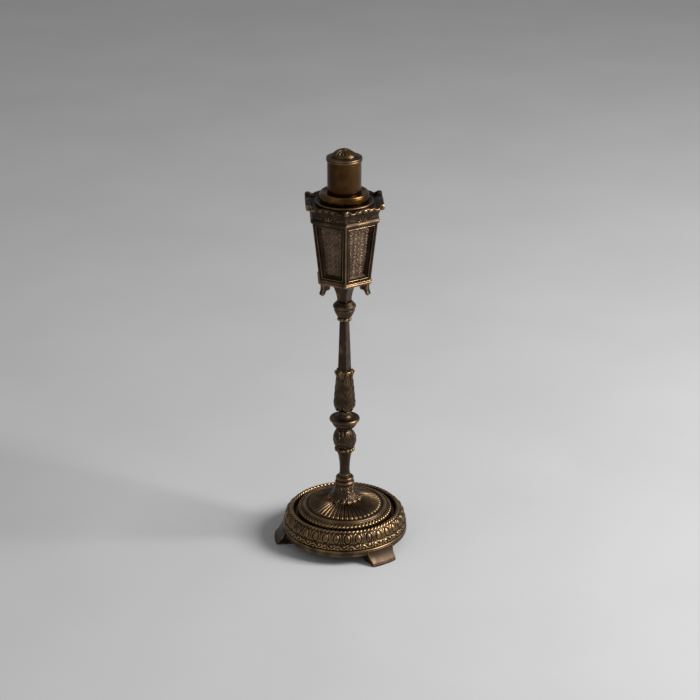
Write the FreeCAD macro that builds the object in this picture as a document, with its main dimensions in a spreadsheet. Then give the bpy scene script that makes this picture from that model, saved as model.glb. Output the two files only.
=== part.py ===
import FreeCAD, Part
import math
import os
import re
import Sketcher

# A small street lantern of cast bronze on a turned column, in millimetres.
# The origin is on the table under the column, +Z is up, and a corner of the lantern points to -Y.
# The column is a stack of turned and cast pieces on one tie rod; the lantern is six framed sides
# between a bottom plate and a crown; the chimney lid and its cap lift off.

doc = FreeCAD.newDocument("street_lantern")
sheet = doc.addObject("Spreadsheet::Sheet", "Dims")

SIZES = {
    # Fits
    "slip": 0.1,
    "lift_gap": 0.3,
    # Three bracket feet and their screws
    "foot_height": 7.3,
    "foot_sweep": 36.0,
    "foot_top_width": 24.4,
    "foot_sole_width": 20.6,
    "foot_crest": 11.4,
    "foot_reach": 56.2,
    "foot_lip": 2.0,
    "foot_lip_step": 1.0,
    "foot_root_r": 49.9,
    "foot_heel_r": 41.8,
    "foot_heel_lean": 1.5,
    "foot_screw_circle": 46.0,
    "foot_screw_r": 1.3,
    "foot_screw_grip": 4.0,
    "foot_screw_head_r": 2.5,
    "foot_screw_head": 2.0,
    "foot_screw_sink": 0.6,
    # Base casting
    "base_rim_r": 49.3,
    "base_wall": 5.8,
    "base_floor": 3.0,
    "rim_height": 5.4,
    "rim_round": 1.3,
    "band_r": 48.8,
    "band_height": 5.0,
    "ovolo_r": 48.2,
    "crest_r": 42.3,
    "crest_height": 18.4,
    "crest_roll": 1.5,
    "groove_r": 39.6,
    "groove_floor": 15.4,
    # Fluted dome with its bead band and polished double ring
    "plateau_r": 37.6,
    "plateau_height": 5.4,
    "plateau_round": 2.7,
    "ring_r": 31.7,
    "ring_height": 6.6,
    "ring_roll": 1.3,
    "ring_skirt": 2.2,
    "ring_step": 0.9,
    "dome_edge_r": 29.6,
    "dome_edge_height": 7.2,
    "dome_top_r": 14.8,
    "dome_height": 11.7,
    "dome_wall": 3.0,
    "dome_hub_r": 9.0,
    # Acanthus cone at the foot of the column
    "cone_foot_r": 13.4,
    "cone_lip": 1.6,
    "cone_top_r": 7.1,
    "cone_height": 12.6,
    # Ringed collar
    "collar_low_r": 6.8,
    "collar_low_height": 3.5,
    "collar_high_r": 6.3,
    "collar_high_start": 3.9,
    "collar_high_end": 7.1,
    "collar_throat_r": 5.0,
    "collar_height": 9.2,
    # Lower shaft
    "shaft_foot_r": 4.5,
    "shaft_thin_r": 3.9,
    "shaft_thin_height": 3.7,
    "shaft_head_r": 6.0,
    "shaft_height": 20.4,
    # Bud knop with its ring of leaf tips
    "bud_ring_r": 6.9,
    "bud_ring_height": 2.7,
    "bud_foot_r": 6.7,
    "bud_neck_r": 5.0,
    "bud_neck": 0.8,
    "bud_height": 19.5,
    # Disc knop
    "disc_foot_r": 5.0,
    "disc_cup_r": 9.8,
    "disc_cup_height": 5.2,
    "disc_rim_r": 11.2,
    "disc_rim_low": 6.3,
    "disc_rim_high": 9.2,
    "disc_dish_r": 8.4,
    "disc_neck_r": 5.0,
    "disc_neck": 2.6,
    "disc_height": 14.6,
    # Acanthus vase
    "vase_foot_r": 4.9,
    "vase_belly_r": 8.3,
    "vase_belly_height": 9.6,
    "vase_waist_r": 6.4,
    "vase_waist_height": 27.9,
    "vase_lip_r": 7.4,
    "vase_lip": 1.2,
    "vase_height": 34.4,
    # Square tapered shaft
    "stem_turn": 13.0,
    "taper_low_r": 5.95,
    "taper_high_r": 3.9,
    "taper_edge": 0.7,
    "taper_height": 41.7,
    # Urn knop
    "urn_ring_r": 4.45,
    "urn_ring_height": 2.2,
    "urn_foot_r": 4.6,
    "urn_belly_r": 8.1,
    "urn_belly_height": 9.3,
    "urn_groove": 0.5,
    "urn_roll_r": 8.0,
    "urn_roll_height": 3.3,
    "urn_top_r": 6.0,
    "urn_height": 15.4,
    # Square flared neck
    "neck_low_r": 5.75,
    "neck_mid_r": 6.8,
    "neck_mid_height": 7.0,
    "neck_high_r": 9.3,
    "neck_high_height": 12.6,
    "neck_top_r": 14.1,
    "neck_height": 18.0,
    # Tie rod, washer and nuts
    "rod_r": 2.0,
    "rod_end": 1.2,
    "washer_r": 8.0,
    "washer_thick": 1.2,
    "nut_flats": 7.0,
    "nut_height": 3.2,
    # Lantern bottom plate
    "plate_r": 23.6,
    "plate_thick": 2.9,
    "plate_bead": 0.9,
    "draught_circle": 14.4,
    "draught_r": 0.9,
    # Six sides: a frame outside, an ornamented panel lining it
    "side_low_r": 22.3,
    "side_high_r": 28.0,
    "side_height": 46.2,
    "frame_thick": 2.6,
    "panel_thick": 1.2,
    "frame_border": 4.2,
    "frame_bottom_rail": 3.7,
    "frame_top_rail": 2.0,
    # Three pendants and the clamp bolts that screw into them
    "pendant_width": 4.4,
    "pendant_drop": 9.6,
    "pendant_lobe_drop": 6.0,
    "pendant_inner_r": 13.6,
    "pendant_outer_r": 20.0,
    "pendant_tip_r": 21.6,
    "pendant_tip": 2.4,
    "bolt_circle": 16.2,
    "bolt_r": 1.0,
    "bolt_grip": 4.0,
    "bolt_head_r": 1.7,
    "bolt_head": 1.2,
    # Crown
    "crown_bead_r": 29.5,
    "crown_bead": 2.8,
    "crown_bead_round": 0.7,
    "crown_frieze_low_r": 28.5,
    "crown_frieze_high_r": 29.8,
    "crown_frieze_top": 9.0,
    "crown_rim_r": 33.0,
    "crown_rim_low": 11.4,
    "crown_rim_top": 13.2,
    "crown_ear_r": 34.0,
    "crown_ear_top": 15.0,
    "crown_ear_width": 5.0,
    "crown_wall": 2.6,
    "crown_inside_r": 24.6,
    "ledge_rise": 11.0,
    "ledge_thick": 3.0,
    "ledge_bore_r": 13.6,
    # Chimney lid: flange, collar and tube
    "flange_r": 22.0,
    "flange_thick": 1.8,
    "flange_edge": 1.0,
    "flange_edge_width": 1.6,
    "flange_skirt": 4.0,
    "collar_drum_r": 18.4,
    "collar_drum_height": 6.4,
    "drum_lip_r": 18.2,
    "drum_lip": 1.5,
    "drum_lip_width": 1.8,
    "drum_top": 1.2,
    "drum_wall": 1.6,
    "tube_r": 12.7,
    "tube_wall": 0.8,
    "tube_length": 32.8,
    # Cap: beaded ring and slotted dome
    "cap_ring_r": 13.1,
    "cap_skirt": 1.6,
    "cap_spigot": 4.0,
    "cap_spigot_wall": 0.8,
    "cap_top_roll": 1.3,
    "shelf_rise": 1.9,
    "shelf_r": 9.9,
    "cap_bore_r": 8.4,
    "dome_cap_r": 9.4,
    "dome_cap_height": 5.7,
    "dome_cap_wall": 1.0,
    "dome_cap_step": 0.7,
    "cap_button_r": 1.7,
    "cap_button": 0.5,
    "dome_spigot": 1.6,
    "cap_slots": 16,
    "slot_inner_r": 3.4,
    "slot_outer_r": 6.8,
    "slot_inner_width": 0.6,
    "slot_outer_width": 1.5,
    # Oil font, burner and wick inside the lantern
    "font_r": 13.2,
    "font_wall": 0.8,
    "font_foot_r": 9.0,
    "font_foot_height": 6.4,
    "font_shoulder": 15.6,
    "font_neck_r": 6.2,
    "font_neck": 2.2,
    "font_height": 22.0,
    "burner_r": 7.4,
    "burner_thick": 1.8,
    "burner_plug": 3.0,
    "burner_boss_r": 4.4,
    "burner_boss": 2.2,
    "wick_tube_r": 2.8,
    "wick_tube_wall": 0.6,
    "wick_tube_rise": 7.0,
    "wick_tube_drop": 7.0,
    "wick_tube_rim_r": 3.8,
    "wick_tube_rim": 0.8,
    "wick_show": 2.6,
}

for row, (alias, size) in enumerate(SIZES.items(), 1):
    sheet.set(f"A{row}", alias)
    sheet.set(f"B{row}", str(size))
    sheet.setAlias(f"B{row}", alias)
sheet.recompute()
SUM_CELL = "D1"

# Bores that every piece of the column shares, and the heights at which the pieces stack
STEM_BORE = "(rod_r + slip)"
BASE = "foot_height"
SEAT = BASE + " + groove_floor"
CONE = SEAT + " + dome_height"
COLLAR = CONE + " + cone_height"
SHAFT = COLLAR + " + collar_height"
BUD = SHAFT + " + shaft_height"
DISC = BUD + " + bud_height"
VASE = DISC + " + disc_height"
TAPER = VASE + " + vase_height"
URN = TAPER + " + taper_height"
NECK = URN + " + urn_height"
PLATE = NECK + " + neck_height"
SIDES = PLATE + " + plate_thick"
CROWN = SIDES + " + side_height"
LEDGE = CROWN + " + ledge_rise"
LID = LEDGE + " + flange_thick"
TUBE_TOP = LID + " + tube_length"
SHELF = TUBE_TOP + " + shelf_rise"
FONT_TOP = SIDES + " + font_height"
BURNER_TOP = FONT_TOP + " + burner_thick + burner_boss"

# Degrees that the arc of a moulding turns through
FOOT_HOLLOW = 24
FAINT = 4
LOW_DOME = 14
SLENDER = 15
WAIST = 20
SWELL = 30
LIP_FLARE = 35
HOLLOW = 40
DRUM_BULGE = 48
CUP = 50
SHOULDER = 60
ROUNDED = 80
QUARTER = 90
BEAD = 100
COLLAR_BEAD = 110
LOBE = 120
FULL_RIM = 125
RING = 130
ROLL = 150

# Sides of the lantern, its plate and its crown, and of a nut
HEXAGON = 6

# Directions round the axis, in degrees from -Y towards +X
FEET = {"foot_front_right": 32, "foot_back_right": 152, "foot_left": -88}
PENDANTS = {"pendant_right": 60, "pendant_left": -60, "pendant_back": 180}
FACES = {
    "front_right": 30,
    "right": 90,
    "back_right": 150,
    "back_left": -150,
    "left": -90,
    "front_left": -30,
}

pieces = []


def sheet_words(expression):
    """The expression with each size written as its cell in the sheet."""

    def cell(word):
        return "Dims." + word[0] if word[0] in SIZES else word[0]

    return re.sub(r"[a-z_]\w*", cell, expression)


def value(expression):
    """The number that an expression over the sizes comes to."""
    sheet.set(SUM_CELL, "=" + expression)
    sheet.recompute()
    return float(sheet.get(SUM_CELL))


def piece(label, height="0", facing=90):
    """An empty piece standing at a height, its own +X turned to a direction round the axis."""
    body = doc.addObject("PartDesign::Body", label)
    body.Label = label
    turn = FreeCAD.Rotation(FreeCAD.Vector(0, 0, 1), facing - 90)
    body.Placement = FreeCAD.Placement(FreeCAD.Vector(0, 0, 0), turn)
    body.setExpression("Placement.Base.z", sheet_words(height))
    pieces.append(body)
    return body


def sketch_on(body, role, height="0"):
    """A sketch on one of the piece's own planes, raised along the plane's normal."""
    sketch = body.newObject("Sketcher::SketchObject", "sketch")
    support = [plane for plane in body.Origin.OriginFeatures if plane.Role == role]
    sketch.AttachmentSupport = [(support[0], "")]
    sketch.MapMode = "FlatFace"
    sketch.setExpression("AttachmentOffset.Base.z", sheet_words(height))
    return sketch


def place_point(sketch, geometry, end, corner):
    """Hold one end of a line or arc at a corner written in sizes."""
    for kind, expression in zip(("DistanceX", "DistanceY"), corner):
        rule = Sketcher.Constraint(kind, -1, 1, geometry, end, value(expression))
        number = sketch.addConstraint(rule)
        sketch.setExpression(f"Constraints[{number}]", sheet_words(expression))


def outline(sketch, corners):
    """A closed outline. A corner is (x, y), or (x, y, turn) where the stretch that follows it is an
    arc through that many degrees, to the left when positive and to the right when negative."""
    spots = [FreeCAD.Vector(value(c[0]), value(c[1]), 0) for c in corners]
    ends = []
    for i, corner in enumerate(corners):
        start, stop = spots[i], spots[(i + 1) % len(spots)]
        if len(corner) == 2:
            line = sketch.addGeometry(Part.LineSegment(start, stop))
            ends.append((line, 1, 2))
            continue
        turn = corner[2]
        half = math.radians(abs(turn) / 2)
        chord = stop - start
        radius = chord.Length / (2 * math.sin(half))
        side = FreeCAD.Vector(-chord.y, chord.x, 0).normalize() * math.copysign(1, turn)
        centre = (start + stop) * 0.5 + side * (radius * math.cos(half))
        low, high = (start, stop) if turn > 0 else (stop, start)
        angles = [math.atan2(p.y - centre.y, p.x - centre.x) for p in (low, high)]
        if angles[1] < angles[0]:
            angles[1] += 2 * math.pi
        circle = Part.Circle(centre, FreeCAD.Vector(0, 0, 1), radius)
        arc = sketch.addGeometry(Part.ArcOfCircle(circle, angles[0], angles[1]))
        ends.append((arc, 1, 2) if turn > 0 else (arc, 2, 1))
    for i, corner in enumerate(corners):
        place_point(sketch, ends[i][0], ends[i][1], corner[:2])
        following = ends[(i + 1) % len(ends)]
        joined = Sketcher.Constraint("Coincident", ends[i][0], ends[i][2], following[0], following[1])
        sketch.addConstraint(joined)
        if len(corner) == 3:
            after = corners[(i + 1) % len(corners)]
            run = f"(({after[0]}) - ({corner[0]}))^2 + (({after[1]}) - ({corner[1]}))^2"
            bend = f"sqrt({run}) / (2 * sin({abs(corner[2]) / 2}))"
            number = sketch.addConstraint(Sketcher.Constraint("Radius", ends[i][0], value(bend)))
            sketch.setExpression(f"Constraints[{number}]", sheet_words(bend))
    return sketch


def circle(sketch, x, y, radius):
    """A circle whose centre and radius are written in sizes."""
    centre = FreeCAD.Vector(value(x), value(y), 0)
    ring = sketch.addGeometry(Part.Circle(centre, FreeCAD.Vector(0, 0, 1), value(radius)))
    place_point(sketch, ring, 3, (x, y))
    number = sketch.addConstraint(Sketcher.Constraint("Radius", ring, value(radius)))
    sketch.setExpression(f"Constraints[{number}]", sheet_words(radius))
    return sketch


def turned(body, corners, sweep=None):
    """Turn an outline of (radius, height) corners round the piece's axis, all the way or half a sweep
    to each side."""
    profile = outline(sketch_on(body, "XZ_Plane"), corners)
    feature = body.newObject("PartDesign::Revolution", "turned")
    feature.Profile = profile
    feature.ReferenceAxis = (profile, ["V_Axis"])
    feature.Angle = 360
    if sweep is not None:
        feature.Midplane = True
        feature.setExpression("Angle", sheet_words(sweep))
    return feature


def padded(body, profile, length, both_ways=False):
    """Raise a sketch by a length, along its normal or half each way."""
    feature = body.newObject("PartDesign::Pad", "pad")
    feature.Profile = profile
    feature.setExpression("Length", sheet_words(length))
    feature.SideType = "Symmetric" if both_ways else "One side"
    return feature


def cut(body, profile, depth=None):
    """Cut a sketch along its normal, by a depth or right through, and see that it cut something."""
    doc.recompute()
    before = body.Shape.Volume
    feature = body.newObject("PartDesign::Pocket", "cut")
    feature.Profile = profile
    feature.Reversed = True
    if depth is None:
        feature.Type = "ThroughAll"
    else:
        feature.setExpression("Length", sheet_words(depth))
    doc.recompute()
    if not feature.Shape.Volume < before:
        raise ValueError("a cut in " + body.Label + " takes nothing away")
    return feature


def repeated(body, features, count):
    """Repeat features evenly round the piece's axis."""
    pattern = body.newObject("PartDesign::PolarPattern", "round_the_axis")
    pattern.Originals = features
    axis = [line for line in body.Origin.OriginFeatures if line.Role == "Z_Axis"]
    pattern.Axis = (axis[0], [""])
    pattern.Angle = 360
    pattern.setExpression("Occurrences", sheet_words(count))
    body.Tip = pattern
    return pattern


def ring_of(radius, count, first=0.0):
    """Corners spaced evenly on a circle, counted from -Y towards +X."""
    steps = [first + 360 / count * i for i in range(count)]
    return [(f"({radius}) * sin({a})", f"-({radius}) * cos({a})") for a in steps]


def square_of(radius, edge):
    """Corners of a square on a circle, each corner cut off by a small flat."""
    corners = []
    for a in (0, 90, 180, 270):
        for hand in (-1, 1):
            out = f"(({radius}) - {edge})"
            across = f"({hand} * {edge})"
            x = f"{out} * sin({a}) + {across} * cos({a})"
            y = f"-{out} * cos({a}) + {across} * sin({a})"
            corners.append((x, y))
    return corners


def stacked(body, sections, kind="PartDesign::AdditiveLoft"):
    """Join outlines that stand one above another by straight walls; a section is (corners, height)."""
    sketches = [outline(sketch_on(body, "XY_Plane", height), corners) for corners, height in sections]
    feature = body.newObject(kind, "stack")
    feature.Profile = sketches[0]
    feature.Sections = sketches[1:]
    feature.Ruled = True
    return feature


def on_circle(radius, direction):
    """The place on a circle in a direction counted from -Y towards +X."""
    return f"({radius}) * sin({direction})", f"-({radius}) * cos({direction})"


def make_foot(label, facing):
    """A bracket foot: its front flares from the rim's wall down to a lip and narrows to the sole. It is
    screwed up into the rim through that sole."""
    body = piece(label, "0", facing)
    lip_edge = "foot_reach - foot_lip_step"
    rim_wall = "base_rim_r + slip"
    turned(body, [
        ("foot_heel_r", "foot_height"),
        ("foot_heel_r + foot_heel_lean", "0"),
        ("foot_reach", "0"),
        ("foot_reach", "foot_lip"),
        (lip_edge, "foot_lip", -FOOT_HOLLOW),
        ("foot_root_r", "foot_crest"),
        (rim_wall, "foot_crest"),
        (rim_wall, "foot_height"),
    ], "foot_sweep")
    sides = sketch_on(body, "YZ_Plane")
    for hand in ("", "-"):
        outline(sides, [
            (f"{hand}foot_sole_width / 2", "0"),
            (f"{hand}foot_top_width", "0"),
            (f"{hand}foot_top_width", "foot_crest"),
            (f"{hand}foot_top_width / 2", "foot_crest"),
        ])
    cut(body, sides)
    hole = circle(sketch_on(body, "XY_Plane"), "foot_screw_circle", "0", "foot_screw_r + slip")
    cut(body, hole)
    sink = circle(sketch_on(body, "XY_Plane"), "foot_screw_circle", "0", "foot_screw_head_r + slip")
    cut(body, sink, "foot_screw_head + foot_screw_sink")


def make_foot_screws():
    """One countersunk-flush screw to each foot, sunk above the sole."""
    body = piece("foot_screws", "foot_screw_sink", FEET["foot_front_right"])
    head_sketch = circle(sketch_on(body, "XY_Plane"), "foot_screw_circle", "0", "foot_screw_head_r")
    head = padded(body, head_sketch, "foot_screw_head")
    shank_length = "foot_height - foot_screw_sink + foot_screw_grip"
    shank_sketch = circle(sketch_on(body, "XY_Plane"), "foot_screw_circle", "0", "foot_screw_r")
    shank = padded(body, shank_sketch, shank_length)
    repeated(body, [head, shank], "3")


def make_base():
    """The round base: rim bead, scroll band, egg-and-dart slope, rope crest and the seat inside it."""
    body = piece("base_casting", BASE, FEET["foot_front_right"])
    under = "groove_floor - base_floor"
    band_top = "rim_height + band_height"
    turned(body, [
        (STEM_BORE, under),
        ("groove_r - base_floor", under),
        ("base_rim_r - base_wall - base_floor", "0"),
        ("base_rim_r - rim_round", "0", ROUNDED),
        ("base_rim_r", "rim_round"),
        ("base_rim_r", "rim_height - rim_round", ROUNDED),
        ("base_rim_r - rim_round", "rim_height"),
        ("band_r", "rim_height", SWELL),
        ("band_r", band_top),
        ("ovolo_r", band_top, 45),
        ("crest_r + crest_roll", "crest_height", ROLL),
        ("crest_r - crest_roll", "crest_height"),
        ("groove_r", "groove_floor"),
        (STEM_BORE, "groove_floor"),
    ])
    hole_sketch = circle(sketch_on(body, "XY_Plane"), "foot_screw_circle", "0", "foot_screw_r + slip")
    hole = cut(body, hole_sketch, "foot_screw_grip + slip")
    repeated(body, [hole], "3")


def make_dome():
    """The inner casting: bead band, polished double ring and a fluted dome, hollow underneath."""
    body = piece("fluted_dome", SEAT)
    ring_foot = "plateau_height + ring_step"
    turned(body, [
        (STEM_BORE, "0"),
        ("dome_hub_r", "0"),
        ("dome_hub_r", "dome_height - dome_wall"),
        ("dome_edge_r - dome_wall", "dome_edge_height - dome_wall"),
        ("plateau_r - dome_wall", "0"),
        ("plateau_r", "0"),
        ("plateau_r", "plateau_height - plateau_round", ROUNDED),
        ("plateau_r - plateau_round", "plateau_height"),
        ("ring_r + ring_skirt", "plateau_height", BEAD),
        ("ring_r + ring_roll", ring_foot),
        ("ring_r + ring_roll", "ring_height", RING),
        ("ring_r - ring_roll", "ring_height"),
        ("dome_edge_r", "dome_edge_height", LOW_DOME),
        ("dome_top_r", "dome_height"),
        (STEM_BORE, "dome_height"),
    ])


def make_column():
    """The turned pieces of the column, from the leaf cone up to the urn under the lantern."""
    turned(piece("acanthus_cone", CONE), [
        (STEM_BORE, "0"),
        ("cone_foot_r", "0", BEAD),
        ("cone_foot_r", "cone_lip", -HOLLOW),
        ("cone_top_r", "cone_height"),
        (STEM_BORE, "cone_height"),
    ])
    turned(piece("ringed_collar", COLLAR), [
        (STEM_BORE, "0"),
        ("collar_low_r", "0", BEAD),
        ("collar_low_r", "collar_low_height"),
        ("collar_high_r", "collar_high_start", BEAD),
        ("collar_high_r", "collar_high_end"),
        ("collar_throat_r", "collar_high_end", -SWELL),
        ("shaft_foot_r", "collar_height"),
        (STEM_BORE, "collar_height"),
    ])
    turned(piece("lower_shaft", SHAFT), [
        (STEM_BORE, "0"),
        ("shaft_foot_r", "0", -WAIST),
        ("shaft_thin_r", "shaft_thin_height", -SLENDER),
        ("shaft_head_r", "shaft_height"),
        (STEM_BORE, "shaft_height"),
    ])
    turned(piece("bud_knop", BUD), [
        (STEM_BORE, "0"),
        ("bud_ring_r", "0", LOBE),
        ("bud_ring_r", "bud_ring_height"),
        ("bud_foot_r", "bud_ring_height", ROUNDED),
        ("bud_neck_r", "bud_height - bud_neck"),
        ("bud_neck_r", "bud_height"),
        (STEM_BORE, "bud_height"),
    ])
    turned(piece("disc_knop", DISC), [
        (STEM_BORE, "0"),
        ("disc_foot_r", "0", CUP),
        ("disc_cup_r", "disc_cup_height"),
        ("disc_rim_r", "disc_rim_low", FULL_RIM),
        ("disc_rim_r", "disc_rim_high"),
        ("disc_dish_r", "disc_rim_high", -CUP),
        ("disc_neck_r", "disc_height - disc_neck"),
        ("vase_foot_r", "disc_height"),
        (STEM_BORE, "disc_height"),
    ])
    turned(piece("acanthus_vase", VASE), [
        (STEM_BORE, "0"),
        ("vase_foot_r", "0", SHOULDER),
        ("vase_belly_r", "vase_belly_height", FAINT),
        ("vase_waist_r", "vase_waist_height", -LIP_FLARE),
        ("vase_lip_r", "vase_height - vase_lip"),
        ("taper_low_r", "vase_height"),
        (STEM_BORE, "vase_height"),
    ])
    turned(piece("urn_knop", URN), [
        (STEM_BORE, "0"),
        ("urn_ring_r", "0", BEAD),
        ("urn_ring_r", "urn_ring_height"),
        ("urn_foot_r", "urn_ring_height", WAIST),
        ("urn_belly_r", "urn_belly_height"),
        ("urn_belly_r - urn_groove", "urn_belly_height + urn_groove"),
        ("urn_roll_r", "urn_belly_height + urn_groove", COLLAR_BEAD),
        ("urn_roll_r", "urn_belly_height + urn_groove + urn_roll_height"),
        ("urn_top_r", "urn_height"),
        (STEM_BORE, "urn_height"),
    ])


def make_square_pieces():
    """The square tapered shaft and the flared neck, bored for the tie rod and turned together."""
    facing = 90 + value("stem_turn")
    shaft = piece("tapered_shaft", TAPER, facing)
    ends = [("taper_low_r", "0"), ("taper_high_r", "taper_height")]
    stacked(shaft, [(square_of(r, "taper_edge"), z) for r, z in ends])
    cut(shaft, circle(sketch_on(shaft, "XY_Plane"), "0", "0", STEM_BORE))
    neck = piece("lantern_neck", NECK, facing)
    levels = [
        ("neck_low_r", "0"),
        ("neck_mid_r", "neck_mid_height"),
        ("neck_high_r", "neck_high_height"),
        ("neck_top_r", "neck_height"),
    ]
    stacked(neck, [(square_of(r, "taper_edge"), z) for r, z in levels])
    cut(neck, circle(sketch_on(neck, "XY_Plane"), "0", "0", STEM_BORE))


def make_nut(label, height):
    """A hexagon nut on the tie rod."""
    body = piece(label, height)
    blank = outline(sketch_on(body, "XY_Plane"), ring_of("nut_flats / 2 / cos(30)", HEXAGON))
    padded(body, blank, "nut_height")
    cut(body, circle(sketch_on(body, "XY_Plane"), "0", "0", STEM_BORE))


def make_tie_rod():
    """The rod that clamps the column, its washer under the base floor and its two nuts."""
    floor_under = BASE + " + groove_floor - base_floor"
    washer_at = floor_under + " - washer_thick"
    nut_at = washer_at + " - nut_height"
    rod_at = nut_at + " - rod_end"
    rod = piece("tie_rod", rod_at)
    rod_length = f"{SIDES} + nut_height + rod_end - ({rod_at})"
    padded(rod, circle(sketch_on(rod, "XY_Plane"), "0", "0", "rod_r"), rod_length)
    washer = piece("base_washer", washer_at)
    padded(washer, circle(sketch_on(washer, "XY_Plane"), "0", "0", "washer_r"), "washer_thick")
    cut(washer, circle(sketch_on(washer, "XY_Plane"), "0", "0", STEM_BORE))
    make_nut("base_nut", nut_at)
    make_nut("lantern_nut", SIDES)


def make_bottom_plate():
    """The lantern's six-sided floor with a beaded edge, holes for the rod, the bolts and the draught."""
    body = piece("bottom_plate", PLATE)
    stacked(body, [
        (ring_of("plate_r - plate_bead", HEXAGON), "0"),
        (ring_of("plate_r", HEXAGON), "plate_bead"),
        (ring_of("plate_r", HEXAGON), "plate_thick - plate_bead"),
        (ring_of("plate_r - plate_bead", HEXAGON), "plate_thick"),
    ])
    holes = circle(sketch_on(body, "XY_Plane"), "0", "0", STEM_BORE)
    for direction in PENDANTS.values():
        circle(holes, *on_circle("bolt_circle", direction), "bolt_r + slip")
    for direction in FACES.values():
        circle(holes, *on_circle("draught_circle", direction), "draught_r")
    cut(body, holes)


def make_pendant(label, facing):
    """A two-lobed scroll under a corner of the plate, tapped for the clamp bolt above it."""
    body = piece(label, PLATE, facing)
    side = [
        ("pendant_inner_r", "0"),
        ("pendant_inner_r", "-pendant_lobe_drop + pendant_tip / 2", LOBE),
        ("pendant_inner_r + pendant_tip", "-pendant_lobe_drop + pendant_tip / 2", -SHOULDER),
        ("pendant_tip_r - pendant_tip", "-pendant_drop + pendant_tip / 2", ROLL),
        ("pendant_tip_r", "-pendant_drop + pendant_tip / 2", -CUP),
        ("pendant_outer_r", "0"),
    ]
    padded(body, outline(sketch_on(body, "XZ_Plane"), side), "pendant_width", both_ways=True)
    tapped = circle(sketch_on(body, "XY_Plane", "-bolt_grip - slip"), "bolt_circle", "0", "bolt_r + slip")
    cut(body, tapped)


def make_clamp_bolts():
    """Three long bolts from the crown's ledge down to the pendants, heads sunk in the ledge."""
    body = piece("clamp_bolts", PLATE + " - bolt_grip", PENDANTS["pendant_right"])
    length = f"{LEDGE} - slip - ({PLATE}) + bolt_grip"
    shank_sketch = circle(sketch_on(body, "XY_Plane"), "bolt_circle", "0", "bolt_r")
    shank = padded(body, shank_sketch, length)
    head_at = f"{length} - bolt_head"
    head_sketch = circle(sketch_on(body, "XY_Plane", head_at), "bolt_circle", "0", "bolt_head_r")
    head = padded(body, head_sketch, "bolt_head")
    repeated(body, [shank, head], "3")


def wall_section(radius, outer, inner):
    """One side of a six-sided wall seen from above, mitred at both ends; depths count inwards."""
    far = f"(({radius}) - ({outer}) / cos(30))"
    near = f"(({radius}) - ({inner}) / cos(30))"
    return [
        (f"{near} * cos(30)", f"-{near} / 2"),
        (f"{far} * cos(30)", f"-{far} / 2"),
        (f"{far} * cos(30)", f"{far} / 2"),
        (f"{near} * cos(30)", f"{near} / 2"),
    ]


def make_side(name, facing):
    """One side of the lantern: a mitred frame with a tapered window, and the panel behind it."""
    frame = piece("side_frame_" + name, SIDES, facing)
    levels = [("side_low_r", "0"), ("side_high_r", "side_height")]
    stacked(frame, [(wall_section(r, "0", "frame_thick"), z) for r, z in levels])
    slope = "(side_high_r - side_low_r) / side_height / 2"
    window_top = "(side_height - frame_top_rail)"
    low_half = f"(side_low_r / 2 - frame_border + {slope} * frame_bottom_rail)"
    high_half = f"(side_low_r / 2 - frame_border + {slope} * {window_top})"
    window = [
        (f"-{low_half}", "frame_bottom_rail"),
        (low_half, "frame_bottom_rail"),
        (high_half, window_top),
        (f"-{high_half}", window_top),
    ]
    cut(frame, outline(sketch_on(frame, "YZ_Plane"), window))
    panel = piece("panel_" + name, SIDES, facing)
    back = "frame_thick + panel_thick"
    stacked(panel, [(wall_section(r, "frame_thick", back), z) for r, z in levels])


def make_crown():
    """The flared crown: gold bead, hollow frieze, rope rim with raised corners, and the lid's ledge."""
    body = piece("crown", CROWN)
    bead_in = "crown_bead_r - crown_bead_round"
    stacked(body, [
        (ring_of(bead_in, 6), "0"),
        (ring_of("crown_bead_r", HEXAGON), "crown_bead_round"),
        (ring_of("crown_bead_r", HEXAGON), "crown_bead - crown_bead_round"),
        (ring_of(bead_in, 6), "crown_bead"),
        (ring_of("crown_frieze_low_r", HEXAGON), "crown_bead + crown_bead_round"),
        (ring_of("crown_frieze_high_r", HEXAGON), "crown_frieze_top"),
        (ring_of("crown_rim_r", HEXAGON), "crown_rim_low"),
        (ring_of("crown_ear_r", HEXAGON), "crown_ear_top"),
    ])
    stacked(body, [
        (ring_of("crown_frieze_high_r - crown_wall", HEXAGON), "ledge_rise"),
        (ring_of("crown_ear_r - crown_wall", HEXAGON), "crown_ear_top"),
    ], "PartDesign::SubtractiveLoft")
    inside = outline(sketch_on(body, "XY_Plane"), ring_of("crown_inside_r", HEXAGON))
    cut(body, inside, "ledge_rise - ledge_thick")
    cut(body, circle(sketch_on(body, "XY_Plane"), "0", "0", "ledge_bore_r"))
    shanks = sketch_on(body, "XY_Plane")
    heads = sketch_on(body, "XY_Plane", "ledge_rise - bolt_head - slip")
    for direction in PENDANTS.values():
        circle(shanks, *on_circle("bolt_circle", direction), "bolt_r + slip")
        circle(heads, *on_circle("bolt_circle", direction), "bolt_head_r + slip")
    cut(body, shanks)
    cut(body, heads)
    half = "(crown_rim_r / 2 - crown_ear_width)"
    notch_top = "(crown_ear_top + crown_wall)"
    widening = f"({half} + {notch_top} - crown_rim_top)"
    gap = [
        (f"-{half}", "crown_rim_top"),
        (half, "crown_rim_top"),
        (widening, notch_top),
        (f"-{widening}", notch_top),
    ]
    notch = cut(body, outline(sketch_on(body, "YZ_Plane"), gap))
    repeated(body, [notch], "6")


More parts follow.
